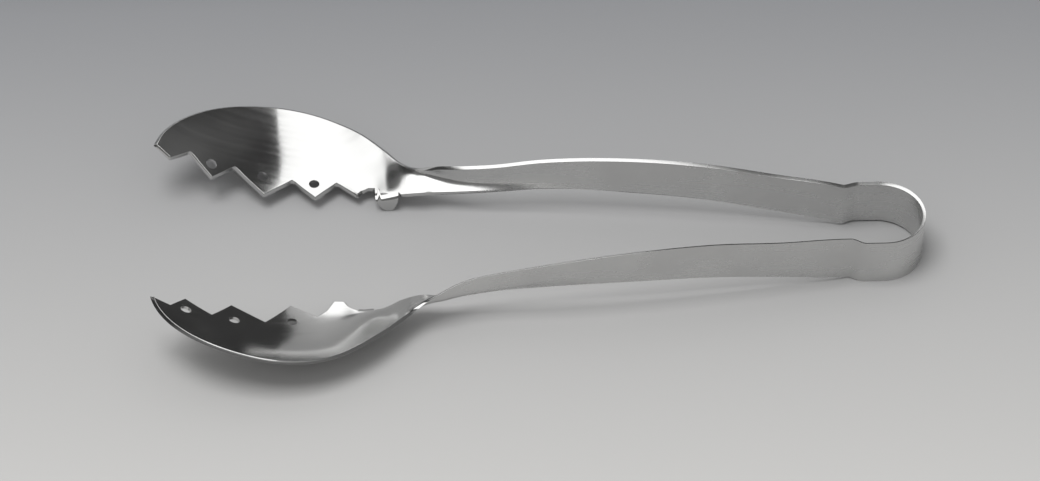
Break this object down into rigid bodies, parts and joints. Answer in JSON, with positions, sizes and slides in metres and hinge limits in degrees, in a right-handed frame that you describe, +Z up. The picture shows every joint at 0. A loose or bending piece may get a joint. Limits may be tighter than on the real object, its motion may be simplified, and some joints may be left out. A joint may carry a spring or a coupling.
{
  "type": "spaghetti tongs",
  "caption": "Serving tongs bent from a strip of stainless sheet: a sprung bow, slim upright handles and dished, toothed heads with pierced holes that interlock to grip pasta.",
  "frame": {"origin": "on the table that the tongs lie on, under the middle of their bounding box", "axes": "+X along the tongs from the mouth to the bow, +Y to the right arm, +Z up from the table"},
  "size_m": [0.242, 0.1124, 0.0224],
  "materials": {
    "satin_steel": "cold-rolled stainless steel sheet with a fine satin grain along the strip",
    "polished_steel": "stainless steel sheet, buffed nearly to a mirror, with faint streaks along the head"
  },
  "bodies": {
    "bow": {"bow_crown": "satin_steel"},
    "left_arm": {"bow_side_left": "satin_steel", "handle_left": "satin_steel", "neck_left": "satin_steel", "scoop_left": "polished_steel", "rest_tab_left": "polished_steel"},
    "right_arm": {"bow_side_right": "satin_steel", "handle_right": "satin_steel", "neck_right": "satin_steel", "scoop_right": "polished_steel", "rest_tab_right": "polished_steel"}
  },
  "joints": [
    {"name": "left_arm_flex", "type": "hinge", "parent": "bow", "child": "left_arm", "pos_m": [0.1129, -0.00951, 0.0084], "axis": [0, 0, -1], "range_deg": [-3, 7.7], "stiffness_Nm_per_rad": 5.2},
    {"name": "right_arm_flex", "type": "hinge", "parent": "bow", "child": "right_arm", "pos_m": [0.1129, 0.00951, 0.0084], "axis": [0, 0, 1], "range_deg": [-3, 7.7], "stiffness_Nm_per_rad": 5.2}
  ],
  "couplings": [
    {"joint": "right_arm_flex", "follows": "left_arm_flex", "ratio": 1}
  ]
}
